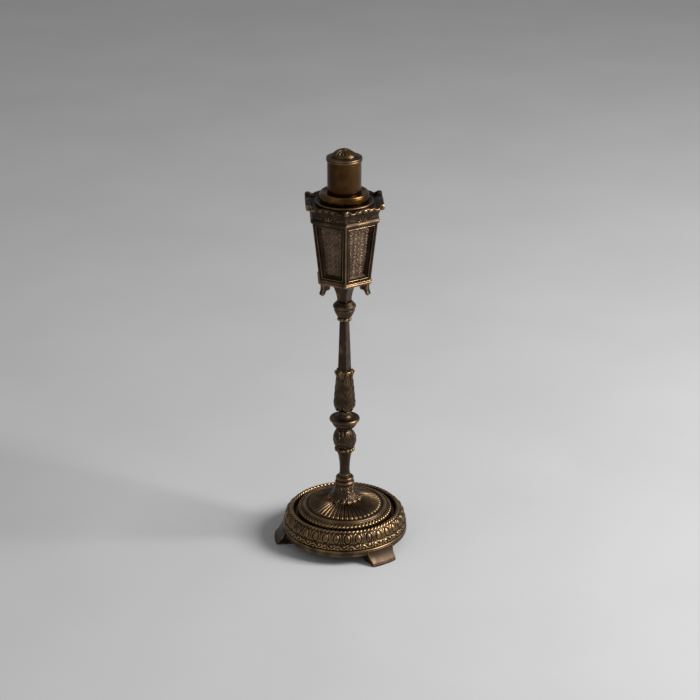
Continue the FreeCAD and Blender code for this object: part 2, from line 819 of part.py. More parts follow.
def make_chimney_lid():
    """The lift-off lid: a flange that drops into the ledge, a polished drum and the chimney tube."""
    bore = "(tube_r - tube_wall)"
    skirt_r = "(ledge_bore_r - lift_gap)"
    rim_in = "flange_r - flange_edge_width"
    turned(piece("lid_flange", LEDGE), [
        (bore, "-flange_skirt"),
        (skirt_r, "-flange_skirt"),
        (skirt_r, "0"),
        ("flange_r", "0"),
        ("flange_r", "flange_thick", QUARTER),
        ("flange_r - flange_edge", "flange_thick + flange_edge"),
        (rim_in, "flange_thick"),
        (bore, "flange_thick"),
    ])
    tube_hole = "(tube_r + slip)"
    lip_in = "drum_lip_r - drum_lip_width"
    top_under = "collar_drum_height - drum_top"
    turned(piece("lid_collar", LID), [
        ("collar_drum_r - drum_wall", "0"),
        ("collar_drum_r", "0", DRUM_BULGE),
        ("drum_lip_r", "collar_drum_height", QUARTER),
        (lip_in, "collar_drum_height + drum_lip"),
        (lip_in, "collar_drum_height"),
        (tube_hole, "collar_drum_height"),
        (tube_hole, top_under),
        ("collar_drum_r - drum_wall", top_under),
    ])
    turned(piece("chimney_tube", LID), [
        (bore, "0"),
        ("tube_r", "0"),
        ("tube_r", "tube_length"),
        (bore, "tube_length"),
    ])


def make_cap():
    """The lift-off cap: a beaded ring that slips over the tube, and a dome with radial vent slots."""
    sleeve = "(tube_r + slip)"
    spigot_r = "(tube_r - tube_wall - slip)"
    spigot_in = f"({spigot_r} - cap_spigot_wall)"
    turned(piece("cap_ring", TUBE_TOP), [
        (sleeve, "-cap_skirt"),
        ("cap_ring_r", "-cap_skirt", COLLAR_BEAD),
        ("cap_ring_r", "0", COLLAR_BEAD),
        ("cap_ring_r", "cap_top_roll"),
        ("shelf_r", "shelf_rise"),
        ("cap_bore_r", "shelf_rise"),
        ("cap_bore_r", "0"),
        (spigot_in, "0"),
        (spigot_in, "-cap_spigot"),
        (spigot_r, "-cap_spigot"),
        (spigot_r, "0"),
        (sleeve, "0"),
    ])
    dome = piece("cap_dome", SHELF)
    plug_r = "(cap_bore_r - slip)"
    hollow_r = "(cap_bore_r - slip - dome_cap_wall)"
    hollow_top = "(dome_cap_height - dome_cap_wall)"
    turned(dome, [
        (hollow_r, "-dome_spigot"),
        (plug_r, "-dome_spigot"),
        (plug_r, "0"),
        ("dome_cap_r", "0"),
        ("dome_cap_r", "dome_cap_step", CUP),
        ("cap_button_r", "dome_cap_height - cap_button"),
        ("cap_button_r", "dome_cap_height"),
        ("0", "dome_cap_height"),
        ("0", hollow_top),
        ("cap_button_r", hollow_top, -50),
        (hollow_r, "0"),
    ])
    slot = [
        ("slot_inner_r", "-slot_inner_width / 2"),
        ("slot_outer_r", "-slot_outer_width / 2"),
        ("slot_outer_r", "slot_outer_width / 2"),
        ("slot_inner_r", "slot_inner_width / 2"),
    ]
    vent = cut(dome, outline(sketch_on(dome, "XY_Plane"), slot))
    repeated(dome, [vent], "cap_slots")


def make_font_and_burner():
    """The oil font on the bottom plate, its burner collar, and the wick in its tube."""
    inside_r = "(font_r - font_wall)"
    mouth_r = "(font_neck_r - font_wall)"
    neck_foot = "(font_height - font_neck)"
    floor_top = "(font_foot_height + font_wall)"
    turned(piece("oil_font", SIDES), [
        ("0", "font_foot_height"),
        ("font_foot_r", "font_foot_height"),
        ("font_foot_r", "0"),
        ("font_r", "0"),
        ("font_r", "font_shoulder", SHOULDER),
        ("font_neck_r", neck_foot),
        ("font_neck_r", "font_height"),
        (mouth_r, "font_height"),
        (mouth_r, f"{neck_foot} - font_wall", -SHOULDER),
        (inside_r, "font_shoulder - font_wall"),
        (inside_r, floor_top),
        ("0", floor_top),
    ])
    tube_hole = "(wick_tube_r + slip)"
    plug_r = f"({mouth_r} - slip)"
    turned(piece("burner_collar", FONT_TOP), [
        (tube_hole, "-burner_plug"),
        (plug_r, "-burner_plug"),
        (plug_r, "0"),
        ("burner_r", "0"),
        ("burner_r", "burner_thick"),
        ("burner_boss_r", "burner_thick"),
        ("burner_boss_r", "burner_thick + burner_boss"),
        (tube_hole, "burner_thick + burner_boss"),
    ])
    wick_bore = "(wick_tube_r - wick_tube_wall)"
    turned(piece("wick_tube", BURNER_TOP), [
        (wick_bore, "-wick_tube_drop"),
        ("wick_tube_r", "-wick_tube_drop"),
        ("wick_tube_r", "0"),
        ("wick_tube_rim_r", "0"),
        ("wick_tube_rim_r", "wick_tube_rim"),
        ("wick_tube_r", "wick_tube_rim"),
        ("wick_tube_r", "wick_tube_rise"),
        (wick_bore, "wick_tube_rise"),
    ])
    wick_at = f"{SIDES} + {floor_top}"
    wick = piece("wick", wick_at)
    wick_length = f"{BURNER_TOP} + wick_tube_rise + wick_show - ({wick_at})"
    padded(wick, circle(sketch_on(wick, "XY_Plane"), "0", "0", f"{wick_bore} - slip"), wick_length)


for label, facing in FEET.items():
    make_foot(label, facing)
make_foot_screws()
make_base()
make_dome()
make_column()
make_square_pieces()
make_tie_rod()
make_bottom_plate()
for label, facing in PENDANTS.items():
    make_pendant(label, facing)
make_clamp_bolts()
for name, facing in FACES.items():
    make_side(name, facing)
make_crown()
make_font_and_burner()
make_chimney_lid()
make_cap()
doc.recompute()

for item in doc.Objects:
    if "Invalid" in item.State or "Error" in item.State:
        raise ValueError(item.Name + " did not compute")
for body in pieces:
    if body.Shape.isNull() or not body.Shape.isValid() or not body.Shape.Solids:
        raise ValueError(body.Label + " is not a sound solid")

os.makedirs("parts", exist_ok=True)
for body in pieces:
    body.Shape.exportStep("parts/" + body.Label + ".step")
    print(body.Label, len(body.Shape.Solids), round(body.Shape.Volume, 1))
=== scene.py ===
import math

import bmesh
import bpy
import numpy as np
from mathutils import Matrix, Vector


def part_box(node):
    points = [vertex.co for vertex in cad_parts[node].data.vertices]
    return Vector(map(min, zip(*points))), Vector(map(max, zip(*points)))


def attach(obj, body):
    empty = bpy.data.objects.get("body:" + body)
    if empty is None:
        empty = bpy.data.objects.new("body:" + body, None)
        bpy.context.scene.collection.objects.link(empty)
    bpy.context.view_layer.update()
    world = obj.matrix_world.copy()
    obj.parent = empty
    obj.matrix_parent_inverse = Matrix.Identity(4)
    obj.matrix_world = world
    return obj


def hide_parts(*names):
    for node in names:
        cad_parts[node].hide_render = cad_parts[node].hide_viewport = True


# A small street lantern of cast bronze on a turned column, put together from the feet up. Sizes are in
# millimetres and become metres as each mesh is made. Directions round the axis count from the lantern's
# front corner, at -Y, towards +X.
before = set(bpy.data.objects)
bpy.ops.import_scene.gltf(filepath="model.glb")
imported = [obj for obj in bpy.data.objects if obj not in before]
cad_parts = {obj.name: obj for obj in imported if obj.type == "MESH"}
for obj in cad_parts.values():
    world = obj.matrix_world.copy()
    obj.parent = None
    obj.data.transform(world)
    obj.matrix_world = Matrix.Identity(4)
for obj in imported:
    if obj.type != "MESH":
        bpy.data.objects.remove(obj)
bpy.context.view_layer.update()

# Three bracket feet of cast bronze hug the rim of the base. The front of each flares in a hollow from the
# rim's wall down to a lip on the table and narrows as it goes; a screw through the heel holds it.
MM = 0.001
CLOUD_WIDTH = 9.0
TONE_STOPS = (0.24, 0.51, 0.8)
GLOSS_STOPS = (0.3, 0.8)
GRAIN_STRENGTH = 0.6


def linear(code):
    """Linear colour of an sRGB hex code, with full alpha."""
    parts = np.array([int(code[i : i + 2], 16) for i in (0, 2, 4)]) / 255
    high = ((parts + 0.055) / 1.055) ** 2.4
    return (*np.where(parts <= 0.04045, parts / 12.92, high), 1.0)


def add_node(tree, kind, settings, inputs):
    """Add a shader node: settings are its properties, and each input is a value or a socket to link."""
    node = tree.nodes.new("ShaderNode" + kind)
    for key, value in settings.items():
        setattr(node, key, value)
    for key, value in inputs.items():
        if isinstance(value, bpy.types.NodeSocket):
            tree.links.new(value, node.inputs[key])
        else:
            node.inputs[key].default_value = value
    return node


def patina(name, tones, roughness, grain_mm, grain_depth_mm, clouding):
    """Old metal with a dark skin in the hollows, a middle tone on the faces and bright metal where hands
    have worn the relief. The wear attribute is 0 in a hollow, 0.5 on a flat and 1 on an edge. Clouds a few
    millimetres wide shift it by half the clouding either way, and a fine noise is the casting's grain."""
    material = bpy.data.materials.new(name)
    material.use_nodes = True
    tree = material.node_tree
    tree.nodes.clear()
    place = add_node(tree, "TexCoord", {}, {}).outputs["Object"]
    wear = add_node(tree, "Attribute", {"attribute_name": "wear"}, {}).outputs["Fac"]
    clouds = add_node(tree, "TexNoise", {}, {"Vector": place, "Scale": 1 / (CLOUD_WIDTH * MM), "Detail": 5})
    shifted = {0: clouds.outputs["Fac"], 1: clouding, 2: wear}
    worn = add_node(tree, "Math", {"operation": "MULTIPLY_ADD"}, shifted).outputs[0]
    colour = add_node(tree, "ValToRGB", {}, {"Fac": worn})
    ramp = colour.color_ramp.elements
    ramp.new(TONE_STOPS[1] + clouding / 2)
    for stop, share, tone in zip(ramp, TONE_STOPS, tones):
        stop.position = share + clouding / 2
        stop.color = linear(tone)
    limits = {"From Min": GLOSS_STOPS[0] + clouding / 2, "From Max": GLOSS_STOPS[1] + clouding / 2}
    levels = {"To Min": roughness[0], "To Max": roughness[1]}
    gloss = add_node(tree, "MapRange", {}, {"Value": worn, **limits, **levels})
    grain = add_node(tree, "TexNoise", {}, {"Vector": place, "Scale": 1 / (grain_mm * MM), "Detail": 3})
    height = {"Height": grain.outputs["Fac"], "Strength": GRAIN_STRENGTH, "Distance": grain_depth_mm * MM}
    bump = add_node(tree, "Bump", {}, height)
    shader = add_node(tree, "BsdfPrincipled", {}, {
        "Base Color": colour.outputs["Color"],
        "Metallic": 1.0,
        "Roughness": gloss.outputs["Result"],
        "Normal": bump.outputs["Normal"],
    })
    add_node(tree, "OutputMaterial", {}, {"Surface": shader.outputs["BSDF"]})
    return material


# Cast bronze, darkened and then worn: near black in the hollows, brown on the faces and dull gold on the
# relief. The sand of the mould leaves a grain of half a millimetre.
AGED_BRONZE = patina(
    "aged_bronze",
    tones=("110d0a", "45382d", "b39062"),
    roughness=(0.5, 0.26),
    grain_mm=0.5,
    grain_depth_mm=0.03,
    clouding=0.36,
)


def top_of(node):
    """Height of a node's top above the table, in millimetres."""
    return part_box(node)[1].z / MM


KEPT_AT_CORNERS = 3
KEPT_BETWEEN = 3


def traced(outline, step, soften):
    """Points along a closed outline of (r, z) corners, or (r, z, turn) where an arc of that many degrees
    follows, to the left when positive. An arc is divided evenly; a long straight run keeps the step only
    near its corners. Corners are then softened by averaging each point with its neighbours."""
    runs = []
    for i, corner in enumerate(outline):
        start, stop = np.array(corner[:2]), np.array(outline[(i + 1) % len(outline)][:2])
        chord = stop - start
        length = np.hypot(*chord)
        count = max(2, int(length / step) + 1)
        t = np.arange(count)[:, None] / count
        if len(corner) == 2:
            if count > 2 * KEPT_AT_CORNERS + KEPT_BETWEEN:
                near, far = t[:KEPT_AT_CORNERS], t[-KEPT_AT_CORNERS:]
                between = np.linspace(t[KEPT_AT_CORNERS], far[0], KEPT_BETWEEN, endpoint=False)
                t = np.vstack([near, between, far])
            runs.append(start + chord * t)
            continue
        half = math.radians(corner[2] / 2)
        radius = length / (2 * math.sin(half))
        side = np.array([-chord[1], chord[0]]) / length
        centre = (start + stop) / 2 + side * radius * math.cos(half)
        spin = 2 * half * t
        arm = start - centre
        x = arm[0] * np.cos(spin) - arm[1] * np.sin(spin)
        y = arm[0] * np.sin(spin) + arm[1] * np.cos(spin)
        runs.append(centre + np.hstack([x, y]))
    path = np.vstack(runs)
    for _ in range(soften):
        path = (np.roll(path, 1, 0) + 2 * path + np.roll(path, -1, 0)) / 4
    return path


def add_mesh(node, vertices, faces, wear, material, body, sharp=180):
    """Link a mesh given in millimetres, with its wear attribute, in place of the solid of that node."""
    mesh = bpy.data.meshes.new(node + "_surface")
    mesh.from_pydata((vertices * MM).tolist(), [], faces)
    attribute = mesh.attributes.new("wear", "FLOAT", "POINT")
    attribute.data.foreach_set("value", wear.ravel().astype(np.float32))
    mesh.materials.append(material)
    mesh.shade_smooth()
    mesh.set_sharp_from_angle(angle=math.radians(sharp))
    piece = bpy.data.objects.new(node + "_surface", mesh)
    bpy.context.scene.collection.objects.link(piece)
    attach(piece, body)
    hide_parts(node)
    return piece


def weld(piece):
    """Join the points that fall together at poles and fans, so that the mesh closes."""
    work = bmesh.new()
    work.from_mesh(piece.data)
    bmesh.ops.remove_doubles(work, verts=work.verts, dist=1e-7)
    work.to_mesh(piece.data)
    work.free()


def bracket(node, outline, half_at, facing, bevel, step, soften, curved=False):
    """A cast bracket: an outline of (out, z) carried across a width that half_at(z) gives half of. Its rows
    run from the middle of one end, over the bevelled edge and across to the middle of the other. A curved
    one keeps its distance to the axis: out becomes the root of out squared less across squared."""
    path = traced(outline, step, soften)
    middle = path.mean(0)
    inward = middle - path
    inset = path + bevel * inward / np.linalg.norm(inward, axis=1, keepdims=True)
    # Each row: its points, its share of the half width, how far it is set back from the end, and its wear
    rows = [
        (middle + 0 * path, 1, 0, 0.45),
        ((inset + middle) / 2, 1, 0, 0.45),
        (inset, 1, 0, 0.6),
        (path, 1, bevel, 0.68),
        (path, 1, bevel + 0.4, 0.5),
        (path, 0.4, 0, 0.47),
    ]
    rows = [(ring, -hand, back, wear) for ring, hand, back, wear in rows] + rows[::-1]
    out = np.stack([ring[:, 0] for ring, hand, back, wear in rows])
    level = np.stack([ring[:, 1] for ring, hand, back, wear in rows])
    across = np.stack([hand * (half_at(ring[:, 1]) - back) for ring, hand, back, wear in rows])
    if curved:
        out = np.sqrt(out**2 - across**2)
    a = math.radians(facing)
    x = out * math.sin(a) + across * math.cos(a)
    y = -out * math.cos(a) + across * math.sin(a)
    points = np.stack([x, y, level], -1)
    count = len(path)
    i, j = np.meshgrid(np.arange(len(rows) - 1), np.arange(count), indexing="ij")
    on = (j + 1) % count
    quads = np.stack([i * count + j, (i + 1) * count + j, (i + 1) * count + on, i * count + on], -1)
    wear = np.array([row[3] for row in rows])[:, None] + np.zeros(count)
    faces = quads.reshape(-1, 4).tolist()
    weld(add_mesh(node, points.reshape(-1, 3), faces, wear, AGED_BRONZE, "stand", sharp=32))


FOOT_FACING = {"foot_front_right": 32, "foot_back_right": 152, "foot_left": -88}
FOOT_CREST = top_of("foot_left")
FOOT_SEAT = 7.3
SOLE_HALF = 10.3
CREST_HALF = 12.2
FOOT_OUTLINE = [
    (41.8, FOOT_SEAT),
    (43.3, 0.0),
    (55.9, 0.0),
    (56.2, 0.35),
    (56.2, 1.3, 70),
    (55.4, 2.1),
    (55.1, 2.1),
    (54.9, 2.5, -22),
    (49.9, FOOT_CREST - 0.1),
    (49.4, FOOT_CREST),
    (49.4, FOOT_SEAT),
]


def foot_half(level):
    """Half the foot's width: it widens evenly from the sole to the crest."""
    return SOLE_HALF + (CREST_HALF - SOLE_HALF) * level / FOOT_CREST


for node, facing in FOOT_FACING.items():
    bracket(node, FOOT_OUTLINE, foot_half, facing, bevel=0.35, step=0.4, soften=1, curved=True)

# The fixings are plain mild steel: a tie rod through the column with a washer and two nuts, three foot
# screws and three clamp bolts. They are left as the solids, with a dull machined finish.
CLOUD_STOPS = (0.35, 0.65)


def clouded(name, tones, metallic, roughness, cloud_mm, grain_mm, grain_depth_mm):
    """A surface that drifts between two tones, and between two levels of gloss, with a fine grain."""
    material = bpy.data.materials.new(name)
    material.use_nodes = True
    tree = material.node_tree
    tree.nodes.clear()
    place = add_node(tree, "TexCoord", {}, {}).outputs["Object"]
    clouds = add_node(tree, "TexNoise", {}, {"Vector": place, "Scale": 1 / (cloud_mm * MM), "Detail": 4})
    colour = add_node(tree, "ValToRGB", {}, {"Fac": clouds.outputs["Fac"]})
    for stop, share, tone in zip(colour.color_ramp.elements, CLOUD_STOPS, tones):
        stop.position = share
        stop.color = linear(tone)
    levels = {"To Min": roughness[0], "To Max": roughness[1]}
    gloss = add_node(tree, "MapRange", {}, {"Value": clouds.outputs["Fac"], **levels})
    grain = add_node(tree, "TexNoise", {}, {"Vector": place, "Scale": 1 / (grain_mm * MM), "Detail": 2})
    height = {"Height": grain.outputs["Fac"], "Strength": GRAIN_STRENGTH, "Distance": grain_depth_mm * MM}
    bump = add_node(tree, "Bump", {}, height)
    shader = add_node(tree, "BsdfPrincipled", {}, {
        "Base Color": colour.outputs["Color"],
        "Metallic": metallic,
        "Roughness": gloss.outputs["Result"],
        "Normal": bump.outputs["Normal"],
    })
    add_node(tree, "OutputMaterial", {}, {"Surface": shader.outputs["BSDF"]})
    return material


def finish_solids(nodes, material):
    """Give the solids of these nodes a material in place of their plain one."""
    for node in nodes:
        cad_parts[node].data.materials.clear()
        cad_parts[node].data.materials.append(material)


STEEL = clouded(
    "mild_steel",
    tones=("55565a", "86878a"),
    metallic=1.0,
    roughness=(0.36, 0.55),
    cloud_mm=3.0,
    grain_mm=0.4,
    grain_depth_mm=0.02,
)
finish_solids(("foot_screws", "tie_rod", "base_washer", "base_nut", "lantern_nut", "clamp_bolts"), STEEL)

# The base is one round bronze casting, hollow underneath: a plain rim, a band of running scrolls, a slope of
# eggs and darts, and a rope crest round the seat of the dome. The tie rod's lower nut draws it up.
TURN = 2 * math.pi
BORE = 2.15


def foot_of(node):
    """Height of a node's underside above the table, in millimetres."""
    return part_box(node)[0].z / MM


def wear_of(points, gain, flat):
    """How far each grid point stands out from its neighbours: about 0.5 where flat, 1 on edges, 0 in
    hollows. The sum of near and wider differences along the surface normal, on a grid that wraps both
    ways."""
    across = np.roll(points, -1, 1) - np.roll(points, 1, 1)
    along_rows = np.roll(points, -1, 0) - np.roll(points, 1, 0)
    normal = np.cross(across, along_rows)
    normal /= np.linalg.norm(normal, axis=2, keepdims=True) + 1e-9
    out = np.zeros(points.shape[:2])
    for reach in (1, 3):
        ring = sum(np.roll(points, shift, axis) for axis in (0, 1) for shift in (-reach, reach)) / 4
        out += ((points - ring) * normal).sum(2) / (2 * reach)
    return np.clip(flat + gain * out, 0, 1)


def wrapped_faces(rows, cols):
    """Quads of a grid that wraps both ways, numbered row by row."""
    i, j = np.meshgrid(np.arange(rows), np.arange(cols), indexing="ij")
    up, on = (i + 1) % rows, (j + 1) % cols
    quads = np.stack([i * cols + j, i * cols + on, up * cols + on, up * cols + j], -1)
    return quads.reshape(-1, 4).tolist()


def no_relief(r, z, angle):
    """A smooth surface."""
    return np.zeros(np.broadcast(r, angle).shape)


def round_plan(r, angle):
    """A circle: every direction reaches the full radius."""
    return np.ones(np.broadcast(r, angle).shape)


def turned(node, outline, material=AGED_BRONZE, body="stand", step=0.35, around=360,
           relief=no_relief, plan=round_plan, rise=no_relief, gain=2.2, flat=0.5, soften=2):
    """A closed piece: an outline of (r, z) carried round the axis. A point is pushed out along the
    outline's normal by relief(r, z, angle), spread by the plan and lifted by rise(r, z, angle)."""
    path = traced(outline, step, soften)
    tangent = np.roll(path, -1, 0) - np.roll(path, 1, 0)
    tangent /= np.linalg.norm(tangent, axis=1, keepdims=True) + 1e-9
    angle = np.linspace(0, TURN, around, endpoint=False)[None, :]
    r, z = path[:, :1], path[:, 1:]
    height = relief(r, z, angle)
    spread = (r + tangent[:, 1:] * height) * plan(r, angle)
    level = z - tangent[:, :1] * height + rise(r, z, angle)
    points = np.stack([spread * np.sin(angle), -spread * np.cos(angle), level], -1)
    faces = wrapped_faces(*points.shape[:2])
    wear = wear_of(points, gain, flat)
    return add_mesh(node, points.reshape(-1, 3), faces, wear, material, body)


def phase(angle, count, first=0.0):
    """Place within one of count equal sectors, from -0.5 to 0.5 with 0 at the sector's middle."""
    turns = (angle - math.radians(first)) * count / TURN
    return turns - np.round(turns)


def along(value, low, high):
    """Share of the way from low to high, held between 0 and 1."""
    return np.clip((value - low) / (high - low), 0, 1)


def smooth(t):
    """An even step from 0 to 1."""
    t = np.clip(t, 0, 1)
    return t * t * (3 - 2 * t)


def within(value, low, high, soft):
    """1 between low and high, falling to 0 over a soft edge on either side."""
    return smooth((value - low) / soft + 0.5) * smooth((high - value) / soft + 0.5)


def dome_of(x, y):
    """Half a ball over the unit circle of (x, y)."""
    return np.sqrt(np.clip(1 - x * x - y * y, 0, None))


def ridge(distance, width):
    """A rounded ridge: 1 on its line, falling as a bell over its width."""
    return np.exp(-((distance / width) ** 2))


def knob(x, y):
    """A flat-topped knob: 1 in the middle, falling steeply at the unit circle of (x, y)."""
    return np.exp(-((x * x + y * y) ** 2))


BASE = foot_of("base_casting")
BAND_LOW = BASE + 5.5
BAND_HIGH = BASE + 10.2
SLOPE_LOW = BASE + 10.5
SLOPE_HIGH = BASE + 18.4
BAND_R = 47.9
CREST_OUT = 43.7
CREST_IN = 40.8
EGGS = 34
SCROLLS = 30
SCROLL_HEIGHT = 0.75
CREST_TWISTS = 84
TWIST_HEIGHT = 0.55


def base_relief(r, z, angle):
    """A waving stem with curls and leaf tips on the band; half balls for eggs, each in a raised cup, with
    darts between them, on the slope; slanting strands on the crest."""
    on_band = within(z, BAND_LOW + 0.3, BAND_HIGH - 0.2, 0.5) * (r > CREST_OUT + 2)
    u = along(z, BAND_LOW, BAND_HIGH)
    p = phase(angle, SCROLLS)
    stem = ridge(u - 0.5 - 0.26 * np.sin(TURN * p), 0.13)
    curls = knob((p + 0.25) / 0.13, (u - 0.72) / 0.2) + knob((p - 0.25) / 0.13, (u - 0.28) / 0.2)
    leaf_tips = ((-0.02, 0.82), (-0.48, 0.2), (0.48, 0.2), (0.04, 0.18))
    tips = sum(knob((p - at) / 0.07, (u - high) / 0.3) for at, high in leaf_tips)
    scrolls = SCROLL_HEIGHT * np.clip(stem + curls + 0.8 * tips, 0, 1.2) * on_band
    v = along(z, SLOPE_LOW - 0.1, SLOPE_HIGH - 0.2)
    on_slope = (z > SLOPE_LOW - 0.2) * (z < SLOPE_HIGH) * (r > CREST_OUT - 0.7)
    q = phase(angle, EGGS)
    egg = dome_of(q / 0.27, (v - 0.52) / 0.4)
    cup = ridge(np.hypot(q / 0.27, (v - 0.52) / 0.4) - 1.42, 0.17)
    dart = np.clip(1 - (0.5 - np.abs(q)) / (0.02 + 0.1 * (1 - v)), 0, 1) * (v > 0.05)
    slope = np.maximum(np.maximum(egg, 0.55 * cup), 0.6 * dart) * smooth(v / 0.12) * smooth((1 - v) / 0.1)
    on_crest = within(r, CREST_IN + 0.1, CREST_OUT, 0.5) * (z > SLOPE_HIGH - 0.4)
    strands = np.abs(np.sin(angle * CREST_TWISTS / 2 + (r - CREST_IN - 1.5) * 0.9)) ** 0.8
    return scrolls + slope * on_slope + TWIST_HEIGHT * (strands - 0.6) * on_crest


turned("base_casting", [
    (BORE, BASE + 12.4),
    (36.6, BASE + 12.4),
    (40.5, BASE),
    (48.0, BASE, 80),
    (49.25, BASE + 1.2),
    (49.25, BASE + 4.2, 80),
    (48.2, BASE + 5.3),
    (BAND_R, BAND_LOW, 24),
    (BAND_R, BAND_HIGH),
    (47.3, SLOPE_LOW, 45),
    (CREST_OUT, SLOPE_HIGH, 150),
    (CREST_IN, SLOPE_HIGH),
    (39.6, BASE + 15.4),
    (BORE, BASE + 15.4),
], step=0.34, around=714, relief=base_relief, gain=2.7, soften=1)

# A second bronze casting sits in the base: a band of beads, a plain double ring, and a low dome whose flutes
# run in to the foot of the column. The rod clamps it between the base and the cone.
SEAT = foot_of("fluted_dome")
BEAD_BAND_OUT = 37.3
BEAD_BAND_IN = 34.2
FLUTES_OUT = 29.0
FLUTES_IN = 12.0
BEADS = 72
BEAD_HEIGHT = 0.6
FLUTES = 46
FLUTE_HEIGHT = 0.95
VEIN_DEPTH = 0.3


def dome_relief(r, z, angle):
    """Two rows of beads, half balls set off by half a bead, and round-ended flutes with a vein."""
    u = 2 * along(r, BEAD_BAND_IN, BEAD_BAND_OUT) - 1
    outer = dome_of(phase(angle, BEADS) / 0.46, (u - 0.35) / 0.6)
    inner = dome_of(phase(angle, BEADS, 180 / BEADS) / 0.4, (u + 0.5) / 0.45)
    beads = BEAD_HEIGHT * np.maximum(outer, inner) * (z > SEAT + 2.2) * (r > BEAD_BAND_IN - 0.2)
    q = phase(angle, FLUTES)
    run = along(r, FLUTES_OUT, FLUTES_IN + 1)
    lobe = np.minimum(dome_of(q / 0.43, 0 * q), dome_of(q / 0.45, np.clip(1 - run / 0.14, 0, 1)))
    flutes = (FLUTE_HEIGHT * lobe - VEIN_DEPTH * ridge(q, 0.08)) * (z > SEAT + 6.6)
    return beads + flutes * within(r, FLUTES_IN, FLUTES_OUT, 0.4)


turned("fluted_dome", [
    (BORE, SEAT),
    (9.0, SEAT),
    (9.0, SEAT + 8.7),
    (26.6, SEAT + 4.2),
    (34.6, SEAT),
    (BEAD_BAND_OUT, SEAT),
    (BEAD_BAND_OUT, SEAT + 2.7, 80),
    (34.6, SEAT + 5.0),
    (33.9, SEAT + 5.2, 100),
    (33.0, SEAT + 6.3),
    (33.0, SEAT + 6.6, 130),
    (30.4, SEAT + 6.6),
    (29.6, SEAT + 6.7, 14),
    (14.8, SEAT + 10.9),
    (FLUTES_IN, SEAT + 11.6),
    (BORE, SEAT + 11.6),
], step=0.4, around=690, relief=dome_relief, soften=1)

# The column springs from a cone of acanthus leaves, cast in bronze and threaded on the rod. The leaves hang
# from the collar and turn out at their tips on the dome.
STEM_TURN = 13.0
CONE = foot_of("acanthus_cone")
CONE_LEAVES = 8
CONE_LEAF_HEIGHT = 0.9


def leaf(across, up, width, lobes):
    """An acanthus leaf of unit height. across is the distance from the midrib and up runs from 0 at the
    stalk to 1 at the tip: a lobed blade with a raised midrib and veins that slant up to each lobe."""
    shape = np.clip(np.sin(math.pi * np.clip(up, 0, 1) ** 0.75), 0, None) ** 0.7
    edge = width * shape * (0.8 + 0.26 * np.abs(np.sin(math.pi * lobes * up)))
    share = np.abs(across) / np.maximum(edge, 1e-6)
    blade = smooth((1 - share) * 3.0)
    veins = 0.5 + 0.5 * np.cos(TURN * (lobes * up - 1.1 * share))
    return blade * (0.5 + 0.24 * ridge(across, 0.11 * width) + 0.26 * veins * smooth(share * 4))


def cone_relief(r, z, angle):
    """Two rows of leaves that hang from the collar and stand out more towards their tips."""
    down = along(z - CONE, 12.0, 0.4)
    between = STEM_TURN + 180 / CONE_LEAVES
    front = leaf(phase(angle, CONE_LEAVES, STEM_TURN), down, width=0.46, lobes=4)
    back = leaf(phase(angle, CONE_LEAVES, between), down * 0.92, width=0.34, lobes=3)
    flare = 1 + smooth((down - 0.6) / 0.4)
    return np.maximum(CONE_LEAF_HEIGHT * front, 0.5 * back) * flare * (r > 6.3)


turned("acanthus_cone", [
    (BORE, CONE),
    (12.2, CONE, 90),
    (12.4, CONE + 1.4, -40),
    (6.5, CONE + 12.6),
    (BORE, CONE + 12.6),
], step=0.22, around=640, relief=cone_relief, gain=3.0)

# A collar of two rings, turned in bronze, caps the cone. It is threaded on the rod like every piece of the
# column above it.
COLLAR = foot_of("ringed_collar")
turned("ringed_collar", [
    (BORE, COLLAR),
    (6.8, COLLAR, 110),
    (6.8, COLLAR + 3.5),
    (6.3, COLLAR + 3.9, 110),
    (6.3, COLLAR + 7.1),
    (5.0, COLLAR + 7.2, -30),
    (4.5, COLLAR + 9.2),
    (BORE, COLLAR + 9.2),
], step=0.2, around=192, gain=3.0)

# The lower shaft is a plain waisted length of turned bronze. It widens slowly from the collar up to the
# ring of the bud.
SHAFT = foot_of("lower_shaft")
turned("lower_shaft", [
    (BORE, SHAFT),
    (4.5, SHAFT, -20),
    (3.9, SHAFT + 3.7, -15),
    (6.0, SHAFT + 20.4),
    (BORE, SHAFT + 20.4),
], step=0.35, around=160)

# A cast bud stands in a ring of small leaf tips, with broad leaves laid up its sides. Its top narrows to a
# collar that carries the disc.
BUD = foot_of("bud_knop")
BUD_LEAVES = 6
BUD_LEAF_HEIGHT = 1.15
BUD_TIP_HEIGHT = 0.7


def bud_relief(r, z, angle):
    """Leaf tips turned out on the ring, and lobed leaves up the bud with a gap between them."""
    level = z - BUD
    tips = dome_of(phase(angle, 2 * BUD_LEAVES, STEM_TURN) / 0.46, (level - 1.4) / 1.7) * (r > 6.0)
    up = along(level, 2.6, 18.0)
    front = leaf(phase(angle, BUD_LEAVES, STEM_TURN), up, width=0.5, lobes=4)
    back = leaf(phase(angle, BUD_LEAVES, STEM_TURN + 180 / BUD_LEAVES), up, width=0.3, lobes=3)
    leaves = np.maximum(front, 0.6 * back) * (level > 2.8) * (r > 5.2)
    return BUD_TIP_HEIGHT * tips + BUD_LEAF_HEIGHT * leaves


turned("bud_knop", [
    (BORE, BUD),
    (6.6, BUD, 120),
    (6.6, BUD + 2.7),
    (6.1, BUD + 2.9, 80),
    (4.8, BUD + 18.6),
    (5.0, BUD + 18.9),
    (5.0, BUD + 19.5),
    (BORE, BUD + 19.5),
], step=0.22, around=480, relief=bud_relief, gain=3.0)

# The disc knop is cast and then turned. A gadrooned cup carries a plain worn rim, and a dish rises from the
# rim to the foot of the vase.
DISC = foot_of("disc_knop")
DISC_LOBES = 22
DISC_LOBE_HEIGHT = 0.6


